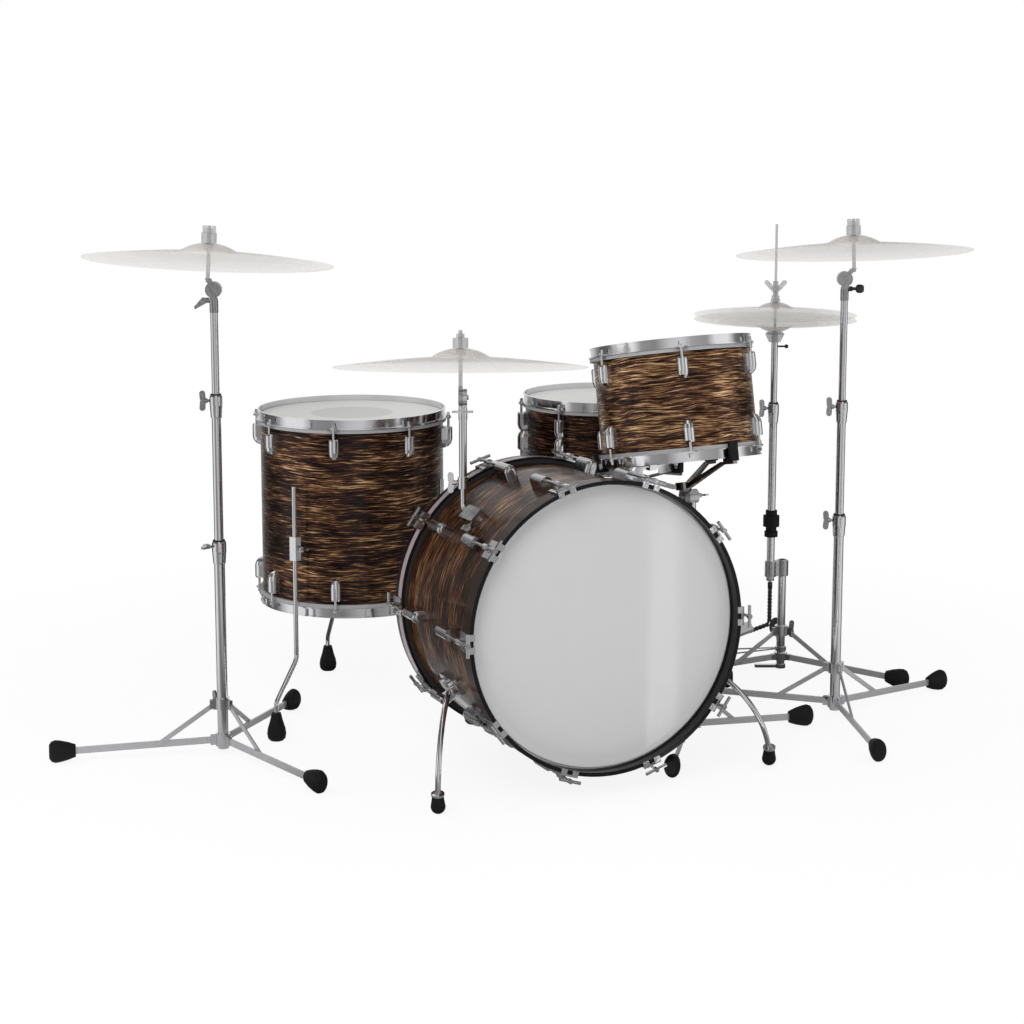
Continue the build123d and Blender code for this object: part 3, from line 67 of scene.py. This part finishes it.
# ---------------------------------------------------------------- material building
class Graph:
    """Short ways to build a node tree; coords is the space its textures live in."""

    def __init__(self, tree, coords):
        self.tree = tree
        self.tree.nodes.clear()
        self.coords = self.add("ShaderNodeTexCoord").outputs[coords]

    def add(self, kind, settings=None, **sockets):
        """A node, with its settings and its sockets linked or filled."""
        made = self.tree.nodes.new(kind)
        for key, value in (settings or {}).items():
            setattr(made, key, value)
        for key, value in sockets.items():
            self.fill(made, key.replace("_", " "), value)
        return made

    def fill(self, made, key, value):
        """Link or set a socket, by its name or as i0, i1 and so on by its number."""
        by_number = key[0] == "i" and key[1:].isdigit()
        socket = made.inputs[int(key[1:]) if by_number else key]
        if isinstance(value, bpy.types.NodeSocket):
            self.tree.links.new(value, socket)
        elif socket.type == "RGBA" and len(value) == 3:
            socket.default_value = (*value, 1.0)
        else:
            socket.default_value = value

    def math(self, operation, a, b=0.0):
        return self.add("ShaderNodeMath", {"operation": operation}, i0=a, i1=b).outputs[0]

    def stretch(self, x, y, z, vector=None):
        """The coordinates, times a number along each axis."""
        return self.add(
            "ShaderNodeVectorMath", {"operation": "MULTIPLY"},
            i0=self.coords if vector is None else vector, i1=(x, y, z),
        ).outputs[0]

    def noise(self, scale, vector=None, detail=2.0, roughness=0.5, distortion=0.0):
        return self.add(
            "ShaderNodeTexNoise", Vector=self.coords if vector is None else vector, Scale=scale,
            Detail=detail, Roughness=roughness, Distortion=distortion,
        ).outputs["Fac"]

    def ramp(self, factor, *stops):
        """Straight steps between stops of (place, colour), where one number is a grey."""
        made = self.add("ShaderNodeValToRGB", Fac=factor)
        band = made.color_ramp
        while len(band.elements) < len(stops):
            band.elements.new(0.5)
        for element, (place, colour) in zip(band.elements, stops):
            element.position = place
            element.color = (*(colour if isinstance(colour, tuple) else (colour,) * 3), 1.0)
        return made.outputs["Color"]

    def remap(self, value, low, high, to_low=0.0, to_high=1.0):
        return self.add(
            "ShaderNodeMapRange", Value=value, From_Min=low, From_Max=high, To_Min=to_low,
            To_Max=to_high,
        ).outputs[0]

    def mix(self, factor, a, b):
        made = self.add("ShaderNodeMix", {"data_type": "RGBA"}, i0=factor)
        for place, value in ((6, a), (7, b)):
            self.fill(made, f"i{place}", value)
        return made.outputs[2]

    def product(self, a, b):
        return self.math("MULTIPLY", a, b)

    def about_half(self, noise, share):
        """A noise moved to swing round zero, times a share."""
        return self.product(self.math("SUBTRACT", noise, 0.5), share)

    def spread(self, noise, low, high):
        """A noise as a value between low and high."""
        return self.remap(noise, 0.3, 0.7, low, high)

    def rays(self):
        """One for what the camera sees, also through a cymbal, and one for what metal sees."""
        kinds = self.add("ShaderNodeLightPath").outputs
        seen = self.math("MAXIMUM", kinds["Is Camera Ray"], kinds["Is Transmission Ray"])
        return seen, kinds["Is Glossy Ray"]

    def axis(self, name):
        return self.add("ShaderNodeSeparateXYZ", Vector=self.coords).outputs[name]

    def out_from_axis(self):
        """Distance from the piece's own Z axis."""
        return self.add(
            "ShaderNodeVectorMath", {"operation": "LENGTH"}, i0=self.stretch(1, 1, 0)
        ).outputs["Value"]

    def room(self):
        turned = self.add(
            "ShaderNodeVectorRotate", {"rotation_type": "Z_AXIS"}, Vector=self.coords,
            Angle=radians(CAMERA_TURN),
        ).outputs[0]
        parts = self.add("ShaderNodeSeparateXYZ", Vector=turned).outputs
        angle = self.math("ARCTAN2", parts["X"], self.product(parts["Y"], -1.0))
        return self.ramp(self.remap(angle, -pi, pi), *ROOM)


class Look(Graph):
    """One procedural material, built node by node."""

    def __init__(self, name, place=None, **sockets):
        self.material = bpy.data.materials.new(name)
        self.material.use_nodes = True
        super().__init__(self.material.node_tree, "Object")
        self.shader = self.add("ShaderNodeBsdfPrincipled", **sockets)
        self.output = self.add("ShaderNodeOutputMaterial", Surface=self.shader.outputs[0])
        if place:
            origin, turn = place
            self.coords = self.add(
                "ShaderNodeMapping", settings={"vector_type": "TEXTURE"}, Vector=self.coords,
                Location=origin, Rotation=tuple(radians(angle) for angle in turn),
            ).outputs[0]

    def set(self, **sockets):
        for key, value in sockets.items():
            self.fill(self.shader, key.replace("_", " "), value)

    def bump(self, height, strength, distance):
        normal = self.add("ShaderNodeBump", Height=height, Strength=strength, Distance=distance)
        self.set(Normal=normal.outputs[0])


def times(colour, factor):
    return tuple(channel * factor for channel in colour)


def wrap(name, place, painted_light_level, tint=WHITE):
    """Pearly laminate: fine brown and amber streaks round the shell; the third argument raises or
    lowers the whole drum's tone, higher being lighter: painted light and shade for how brightly
    that drum is lit.
    """
    look = Look(name, place, Coat_Weight=0.16, Coat_Roughness=0.03, Specular_IOR_Level=0.1)
    sway = look.noise(1.0, look.stretch(13, 13, 34))
    shift = look.add("ShaderNodeCombineXYZ", Z=look.math("SUBTRACT", sway, 0.5)).outputs[0]
    lifted = look.add(
        "ShaderNodeVectorMath", {"operation": "MULTIPLY_ADD"},
        i0=shift, i1=(0, 0, 0.012), i2=look.coords,
    ).outputs[0]
    streaks = look.noise(
        1.0, look.stretch(19, 19, 330, lifted), detail=3, roughness=0.6, distortion=0.1
    )
    fine = look.noise(1.0, look.stretch(32, 32, 760, lifted))
    patches = look.noise(1.0, look.stretch(6, 6, 26, lifted))
    level = look.math("ADD", streaks, look.about_half(patches, 0.42))
    level = look.math("ADD", level, look.about_half(fine, 0.50))
    # Painted light and shade: the whole drum made lighter or darker for how brightly it is lit.
    level = look.math("ADD", level, painted_light_level)
    colour = look.ramp(
        level,
        (0.36, (0.004, 0.0016, 0.0014)), (0.45, (0.016, 0.0066, 0.0050)),
        (0.53, (0.068, 0.029, 0.017)), (0.60, (0.22, 0.103, 0.044)),
        (0.67, (0.58, 0.345, 0.165)), (0.78, (0.93, 0.70, 0.42)),
    )
    look.set(
        Base_Color=look.stretch(*tint, colour), Metallic=look.remap(level, 0.40, 0.66, 0.06, 0.85),
        Roughness=look.spread(streaks, 0.24, 0.32),
    )
    look.bump(streaks, 0.04, 0.0004)
    return look.material


def metal(name, colour, low, high, scale=60.0, metallic=1.0, bump=0.0):
    """Metal whose roughness varies a little, from low to high; bump adds the waves of a casting."""
    look = Look(name, Metallic=metallic)
    smear = look.noise(scale, detail=3)
    look.set(
        Base_Color=look.mix(smear, colour, times(colour, 0.93)),
        Roughness=look.spread(smear, low, high),
    )
    if bump:
        look.bump(smear, bump, 0.0008)
    return look.material


def rubber(name, colour):
    look = Look(name, Specular_IOR_Level=0.22)
    grit = look.noise(420.0, detail=3)
    look.set(
        Base_Color=look.mix(grit, colour, times(colour, 2.2)),
        Roughness=look.spread(grit, 0.5, 0.68),
    )
    look.bump(grit, 0.12, 0.0004)
    return look.material


def coated_head(name, place, skin, flesh_hoop_and_shade=(0.30, 0.30, 0.305), patch=None):
    """Coated film with a fine spray; skin and patch are radii, and beyond skin lies the flesh hoop
    in its own colour, given near black on the bass drum's batter head as painted shade.
    """
    look = Look(name, place)
    spray = look.noise(900.0)
    colour = look.mix(spray, (0.80, 0.80, 0.785), (0.70, 0.70, 0.69))
    out = look.out_from_axis()
    if patch:
        patched = look.mix(spray, (0.66, 0.67, 0.65), (0.58, 0.59, 0.57))
        colour = look.mix(look.remap(out, patch - 0.001, patch + 0.001), patched, colour)
    colour = look.mix(look.math("GREATER_THAN", out, skin), colour, flesh_hoop_and_shade)
    look.set(Base_Color=colour, Roughness=0.5)
    look.bump(spray, 0.10, 0.0003)
    return look.material


def pale_bronze(name, place, radius=CYMBAL_RADIUS):
    """A lathed cymbal, pale and see-through, more so toward its edge."""
    look = Look(name, place, Metallic=0.25)
    out = look.out_from_axis()
    wander = look.product(look.noise(9.0), 0.004)
    grooves = look.math("SINE", look.product(look.math("ADD", out, wander), 2400.0))
    rings = look.add("ShaderNodeCombineXYZ", X=look.product(out, 90.0)).outputs[0]
    bands = look.noise(1.0, rings)
    colour = look.mix(bands, (0.72, 0.69, 0.655), (0.62, 0.59, 0.555))
    fade = look.remap(out, radius * 0.45, radius, 0.0, BRONZE_OPACITY * 0.45)
    opacity = look.spread(bands, BRONZE_OPACITY - 0.03, BRONZE_OPACITY + 0.03)
    look.set(
        Base_Color=colour, Roughness=look.spread(bands, 0.34, 0.46),
        Alpha=look.math("SUBTRACT", opacity, fade),
    )
    look.bump(grooves, 0.08, 0.0003)
    return look.material


def pale_piece(name, colour, opacity, solid_below=None):
    """Felts, nuts and rod tops, about as see-through as the cymbals that they hold."""
    look = Look(name)
    fibre = look.noise(300.0, detail=3)
    if solid_below:
        look.set(Metallic=1.0)
        opacity = look.remap(look.axis("Z"), solid_below, solid_below + 0.004, 1.0, opacity)
    look.set(
        Base_Color=look.mix(fibre, colour, times(colour, 0.8)), Roughness=0.4, Alpha=opacity,
    )
    look.bump(fibre, 0.15, 0.0004)
    return look.material


def lacquer(name, place, inlay_and_highlight, light, dark):
    """Black hoop lacquer; the third argument is the stretch of the axis with a flaky line of
    another colour: on the front hoop an inlaid band, on the rear hoop a painted highlight along its
    edge.
    """
    look = Look(name, place, Coat_Weight=0.06, Coat_Roughness=0.08, Specular_IOR_Level=0.16)
    haze = look.noise(14.0, detail=4)
    colour = look.mix(haze, (0.004, 0.004, 0.005), (0.009, 0.008, 0.009))
    along = look.axis("Z")
    inside = look.product(
        look.math("GREATER_THAN", along, inlay_and_highlight[0]), look.math("LESS_THAN", along, inlay_and_highlight[1])
    )
    inside = look.product(inside, look.math("GREATER_THAN", look.out_from_axis(), HOOP_FACE))
    colour = look.mix(inside, colour, look.mix(look.noise(500.0), light, dark))
    look.set(Base_Color=colour, Roughness=look.spread(haze, 0.16, 0.26))
    return look.material


def front_film(name, place):
    """Smooth grey film under a clear coat, with a painted highlight: a lighter ring where it bends
    to its hoop.
    """
    look = Look(name, place, Coat_Weight=0.9, Coat_Roughness=0.06, Specular_IOR_Level=0.2)
    spray = look.noise(800.0)
    colour = look.mix(look.noise(2.0), (0.500, 0.500, 0.500), (0.475, 0.475, 0.477))
    # Painted highlight: the ring where the film bends to its hoop is made lighter.
    edge = look.remap(look.out_from_axis(), 0.262, 0.284)
    look.set(
        Base_Color=look.mix(edge, colour, (0.62, 0.62, 0.62)),
        Roughness=look.spread(spray, 0.28, 0.36),
    )
    look.bump(spray, 0.03, 0.0002)
    return look.material


chrome = metal("chrome", (0.80, 0.80, 0.815), 0.07, 0.15)
tube_chrome = metal("tube_chrome", (0.76, 0.76, 0.775), 0.09, 0.18, scale=35.0)
cast = metal("cast_chrome", (0.74, 0.74, 0.755), 0.12, 0.24, scale=70.0, bump=0.5)
dark_cast = metal("dark_cast", (0.40, 0.40, 0.41), 0.12, 0.24, scale=110.0, bump=1.0)
# A darker copy of the chrome for the bass drum's lugs and T-rods: painted shade, for the darker
# reflections they show.
shaded_lug_chrome = metal("shaded_lug_chrome", (0.56, 0.56, 0.575), 0.09, 0.20, scale=50.0, bump=0.3)
dark_chrome = metal("dark_chrome", (0.30, 0.30, 0.31), 0.08, 0.16)
satin = metal("satin_plate", (0.60, 0.60, 0.615), 0.26, 0.36, scale=45.0, metallic=0.72, bump=0.2)
alloy = metal("pedal_alloy", (0.58, 0.58, 0.59), 0.34, 0.46, scale=120.0, bump=0.1)
black_rubber = rubber("black_rubber", (0.0045, 0.0045, 0.005))
black_paint = metal("black_paint", (0.018, 0.018, 0.02), 0.3, 0.42, metallic=0.0)
felt = pale_piece("pale_felt", (0.42, 0.42, 0.42), 0.55)
pale_nut = pale_piece("pale_nut", (0.48, 0.48, 0.49), 0.55)
pale_rod = pale_piece("pale_rod", (0.45, 0.45, 0.46), 0.4, solid_below=0.80)
tall_rod = pale_piece("tall_rod", (0.60, 0.60, 0.61), 0.5, solid_below=0.995)
low_rod = pale_piece("low_rod", (0.60, 0.60, 0.61), 0.5, solid_below=0.79)
bush_black = rubber("bush_black", (0.010, 0.010, 0.011))


# ---------------------------------------------------------------- finishes on the frame's pieces
def solids_of(obj):
    """For each polygon the number of its solid, and each solid's low and high corner."""
    mesh = obj.data
    places = np.empty(len(mesh.vertices) * 3)
    mesh.vertices.foreach_get("co", places)
    places = places.reshape(-1, 3)
    shared = np.unique(np.round(places, 6), axis=0, return_inverse=True)[1].ravel()
    leader = np.arange(shared.max() + 1)

    def find(item):
        while leader[item] != item:
            leader[item] = leader[leader[item]]
            item = leader[item]
        return item

    for polygon in mesh.polygons:
        corners = [find(shared[v]) for v in polygon.vertices]
        for corner in corners[1:]:
            leader[find(corner)] = find(corners[0])
    owner = [find(shared[polygon.vertices[0]]) for polygon in mesh.polygons]
    names = sorted(set(owner))
    of_vertex = np.array([find(item) for item in shared])
    boxes = [(places[of_vertex == name].min(0), places[of_vertex == name].max(0)) for name in names]
    return [names.index(item) for item in owner], boxes


def finish(name, main, *others):
    """The node's finish; others are (material, test of a solid's low and high corner)."""
    obj = nodes[name]
    obj.data.materials.clear()
    for material in (main, *(material for material, _ in others)):
        obj.data.materials.append(material)
    if not others:
        obj.data.polygons.foreach_set("material_index", [0] * len(obj.data.polygons))
        return
    owner, boxes = solids_of(obj)
    chosen = []
    for low, high in boxes:
        picks = [step + 1 for step, (_, test) in enumerate(others) if test(low, high)]
        chosen.append(picks[0] if picks else 0)
    obj.data.polygons.foreach_set("material_index", [chosen[item] for item in owner])


def above(height):
    return lambda low, high: low[2] > height


def below(height):
    return lambda low, high: high[2] < height


def between(bottom, top):
    return lambda low, high: low[2] > bottom and high[2] < top


def bush(low, high):
    """The thin plastic bush on top of a tube's clamp."""
    return high[2] - low[2] < 0.0027


def wing(low, high):
    """A wing bolt: small, and wider one way than the other, unlike tubes and clamps."""
    width, depth, height = high - low
    return abs(width - depth) > 0.004 and max(width, depth, height) < 0.05 and height > 0.004


def batter_side(low, high):
    """The rear head of the bass drum."""
    return low[1] > -0.3


def black_bolt(low, high):
    """The bolt at the side of the right stand's ratchet."""
    return low[0] > 0.672


def heel_plate(low, high):
    """The hi-hat's heel plate, which lies flat on the floor."""
    return low[2] < 0.001 and high[2] < 0.035


# Heights at rest, in metres, that tell the solids of a node apart
spur_cup = below(0.05)
stand_ratchet, stand_felts, stand_nut = above(0.92), between(1.05, 1.1), above(1.08)
arm_ratchet, arm_felts, arm_nut = above(0.70), between(0.85, 0.9), above(0.88)
hat_seat, hat_bracket, hat_coupler = above(0.79), between(0.22, 0.28), between(0.32, 0.4)
tom_grips, snare_grips = above(0.57), above(0.52)

for node in nodes:
    finish(node, chrome)
for nodes_alike, material in (
    (
        ("bass_claws", "bass_spur_brackets", "floor_tom_leg_brackets", "snare_strainer",
         "tom_stand_post", "snare_stand_post"), cast,
    ),
    # Painted shade: the bass drum's lugs and T-rods get the darker chrome.
    (("bass_lugs", "bass_t_rods"), shaded_lug_chrome),
    (("tripod_legs", "tripod_braces"), satin),
    (("rubber_feet",), black_rubber),
    (("bass_cymbal_bracket",), dark_cast),
    (("hihat_clutch",), pale_nut),
    (("hihat_chain",), black_paint),
    (("hihat_pull_rod",), pale_rod),
    (("hihat_footboard",), alloy),
):
    for node in nodes_alike:
        finish(node, material)

# One wrap on all four drums, lighter on the rack tom and darker on the snare, floor tom and bass
# drum: painted light and shade for how brightly each drum is lit.
finish("bass_shell", wrap("bass_wrap", BASS, -0.025, (1.0, 0.86, 0.68)))
finish("floor_tom_shell", wrap("floor_tom_wrap", FLOOR_TOM, -0.030))
finish("rack_tom_shell", wrap("rack_tom_wrap", RACK_TOM, 0.040))
finish("snare_shell", wrap("snare_wrap", SNARE, -0.06))
dark_brown, darker_brown = (0.026, 0.012, 0.007), (0.009, 0.0045, 0.0035)
# Colours of the painted highlight along the rear hoop's edge.
edge_highlight_pink, edge_highlight_paler_pink = (0.22, 0.17, 0.19), (0.34, 0.28, 0.30)
finish(
    "bass_front_hoop", lacquer("front_hoop_black", BASS, FRONT_INLAY, dark_brown, darker_brown)
)
# Painted highlight: the pale pink line along the rear hoop's edge.
finish("bass_rear_hoop", lacquer("rear_hoop_black", BASS, REAR_EDGE_HIGHLIGHT, edge_highlight_paler_pink, edge_highlight_pink))
# The batter head's flesh hoop is painted near black: painted shade where the ring meets the shell,
# in place of its metal colour.
batter_film = coated_head("batter_film", BASS, 0.2796, (0.02, 0.018, 0.018))
finish("bass_heads", front_film("front_film", BASS), (batter_film, batter_side))
finish("floor_tom_heads", coated_head("floor_tom_film", FLOOR_TOM, 0.2034, patch=0.091))
finish("rack_tom_heads", coated_head("rack_tom_film", RACK_TOM, 0.1653))
finish("snare_heads", coated_head("snare_film", SNARE, 0.178))

finish("bass_cymbal_post", tube_chrome, (cast, arm_ratchet))
for node in (
    "cymbal_stand_base_tubes", "drum_stand_base_tubes", "left_stand_middle_tube",
    "right_stand_middle_tube",
):
    finish(node, tube_chrome, (bush_black, bush), (dark_cast, wing))
for side in ("left", "right"):
    finish(f"{side}_stand_tilter", tall_rod, (felt, stand_felts), (pale_nut, stand_nut))
    finish(f"spur_{side}", tube_chrome, (black_rubber, spur_cup))
finish("left_stand_upper_tube", tube_chrome, (dark_cast, stand_ratchet))
finish(
    "right_stand_upper_tube", tube_chrome, (black_paint, black_bolt), (dark_cast, stand_ratchet)
)
finish("bass_cymbal_tilter", low_rod, (felt, arm_felts), (pale_nut, arm_nut))
finish("tom_basket", dark_chrome, (black_rubber, tom_grips))
finish("snare_basket", dark_chrome, (black_rubber, snare_grips))

finish("left_cymbal", pale_bronze("left_bronze", LEFT_CYMBAL))
finish("right_cymbal", pale_bronze("right_bronze", RIGHT_CYMBAL))
finish("bass_cymbal", pale_bronze("bass_cymbal_bronze", BASS_CYMBAL))
hat_bronze = pale_bronze("hat_bronze", HATS, HAT_RADIUS)
finish("hihat_top_cymbal", hat_bronze)
finish("hihat_bottom_cymbal", hat_bronze)
finish("hihat_height_tube", tube_chrome, (pale_nut, hat_seat))
finish(
    "hihat_base", tube_chrome, (bush_black, bush), (dark_cast, hat_bracket), (dark_cast, wing),
    (black_rubber, hat_coupler), (alloy, heel_plate),
)


# ---------------------------------------------------------------- small pieces on the frame
def piece(name, body, material, *shapes):
    """One smooth mesh of balls (centre, radius) and round bars (start, end, radius), in metres."""
    mesh = bmesh.new()
    for start, *end, radius in shapes:
        start = Vector(start)
        if not end:
            bmesh.ops.create_icosphere(
                mesh, subdivisions=2, radius=radius, matrix=Matrix.Translation(start)
            )
            continue
        way = Vector(end[0]) - start
        turn = way.to_track_quat("Z", "Y").to_matrix().to_4x4()
        bmesh.ops.create_cone(
            mesh, cap_ends=True, segments=20, radius1=radius, radius2=radius, depth=way.length,
            matrix=Matrix.Translation(start + way / 2) @ turn,
        )
    data = bpy.data.meshes.new(name)
    mesh.to_mesh(data)
    mesh.free()
    data.shade_smooth()
    data.materials.append(material)
    obj = bpy.data.objects.new(name, data)
    bpy.context.scene.collection.objects.link(obj)
    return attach(obj, body)


def hihat_details():
    """The bead chain from the pull rod to the footboard, and the seat's thumb screw."""
    axis = Vector(HATS[0][:2]).to_3d()
    top, corner, seat = (axis + Vector((0, 0, height)) for height in (0.2165, 0.1135, 0.787))
    step, bead, string = 0.0085, 0.0058, 0.003
    socket = Vector((0, 0, -0.013))
    along = Vector((-0.9205, 0.3907, -0.3818)).normalized()
    links = [top + Vector((0, 0, -0.016 - step * n)) for n in range(10)]
    links += [corner + along * (0.006 + step * n) for n in range(6)]
    chain = piece(
        "chain_beads", "hihat_rod", black_paint, *((link, bead) for link in links),
        *((a, b, string) for a, b in zip(links, links[1:])), (top, top + socket, bead),
    )
    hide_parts("hihat_chain")
    side = Vector((0.9205, -0.3907, 0))
    piece(
        "seat_screw", "hihat_tube", black_paint,
        (seat + side * 0.007, seat + side * 0.026, 0.0022), (seat + side * 0.028, 0.005),
    )


hihat_details()


# ---------------------------------------------------------------- stage, light and camera
def aim(obj, target):
    obj.rotation_euler = (Vector(target) - obj.location).to_track_quat("-Z", "Y").to_euler()


def softbox(name, place, target, size, watts):
    """A lamp that metal doesn't mirror: room() shows the metal a softer one in its place."""
    lamp = bpy.data.lights.new(name, "AREA")
    lamp.shape = "RECTANGLE"
    lamp.size, lamp.size_y = size
    lamp.energy = watts
    obj = bpy.data.objects.new(name, lamp)
    bpy.context.scene.collection.objects.link(obj)
    obj.location = place
    aim(obj, target)
    obj.visible_camera = False
    obj.visible_glossy = False


def studio_world():
    """White to the camera, pale grey to matt surfaces, and the room with its ceiling to metal."""
    world = bpy.data.worlds.new("studio")
    world.use_nodes = True
    bpy.context.scene.world = world
    sky = Graph(world.node_tree, "Generated")
    seen, glossy = sky.rays()
    off_middle = sky.math("ABSOLUTE", sky.math("ADD", sky.axis("X"), 0.12))
    overhead = sky.remap(off_middle, 0.16, 0.20, 0.95, 0.14)
    ceiling = sky.remap(sky.axis("Z"), 0.35, 0.50)
    colour = sky.mix(glossy, AMBIENT, sky.mix(ceiling, sky.room(), overhead))
    shade = sky.add("ShaderNodeBackground", Color=sky.mix(seen, colour, WHITE))
    sky.add("ShaderNodeOutputWorld", Surface=shade.outputs[0])


def pale_floor():
    """To metal the floor also has an upright strip, in a narrow range of directions from the
    camera's mirror image. It makes the lighter band in the bass drum's front head.
    """
    bpy.ops.mesh.primitive_plane_add(size=60, location=(0, 0, -0.0005))
    obj = bpy.context.object
    obj.name = "floor"
    look = Look("floor_paint", Base_Color=(0.9, 0.9, 0.9), Roughness=0.9)
    seen, glossy = look.rays()
    out = look.out_from_axis()
    white = look.add("ShaderNodeEmission", Strength=1.0)
    slope = look.math(
        "DIVIDE", look.math("SUBTRACT", look.axis("X"), CAMERA[0]),
        look.math("SUBTRACT", MIRRORED_Y, look.axis("Y")),
    )
    strip = look.product(
        look.remap(slope, 0.5085, 0.5095), look.remap(slope, 0.526, 0.531, 1.0, 0.0)
    )
    # To metal the floor glows with the room's colours, dimmer near the kit: painted shade in its
    # reflection.
    dim = look.remap(out, 0.5, 1.6, 0.34, 0.9)
    mirrored = look.add(
        "ShaderNodeEmission", Color=look.mix(strip, look.room(), WHITE),
        Strength=look.math("ADD", dim, look.product(strip, 1.5)),
    )
    share = look.product(look.remap(out, 0.9, 2.0, 0.88, 1.0), seen)
    shown = look.add(
        "ShaderNodeMixShader", i0=share, i1=look.shader.outputs[0], i2=white.outputs[0]
    )
    both = look.add(
        "ShaderNodeMixShader", i0=glossy, i1=shown.outputs[0], i2=mirrored.outputs[0]
    )
    look.fill(look.output, "Surface", both.outputs[0])
    obj.data.materials.append(look.material)


studio_world()
pale_floor()
softbox("strip_left", (-4.2, 0.1, 1.3), (0, 0, 0.6), (2.0, 2.6), 34)
softbox("key", (-2.4, -3.0, 3.4), (0, 0, 0.4), (2.4, 2.4), 125)
softbox("strip_right", (2.3, -3.5, 1.5), (0, 0, 0.6), (1.7, 2.6), 26)

camera = bpy.data.cameras.new("camera")
camera.lens, camera.sensor_width = 72.45, 36.0
camera.shift_y = -0.080
camera_object = bpy.data.objects.new("camera", camera)
bpy.context.scene.collection.objects.link(camera_object)
camera_object.location = CAMERA
camera_object.rotation_euler = (radians(81.4), 0, radians(-CAMERA_TURN))
bpy.context.scene.camera = camera_object
bpy.context.scene.view_settings.view_transform = "Standard"
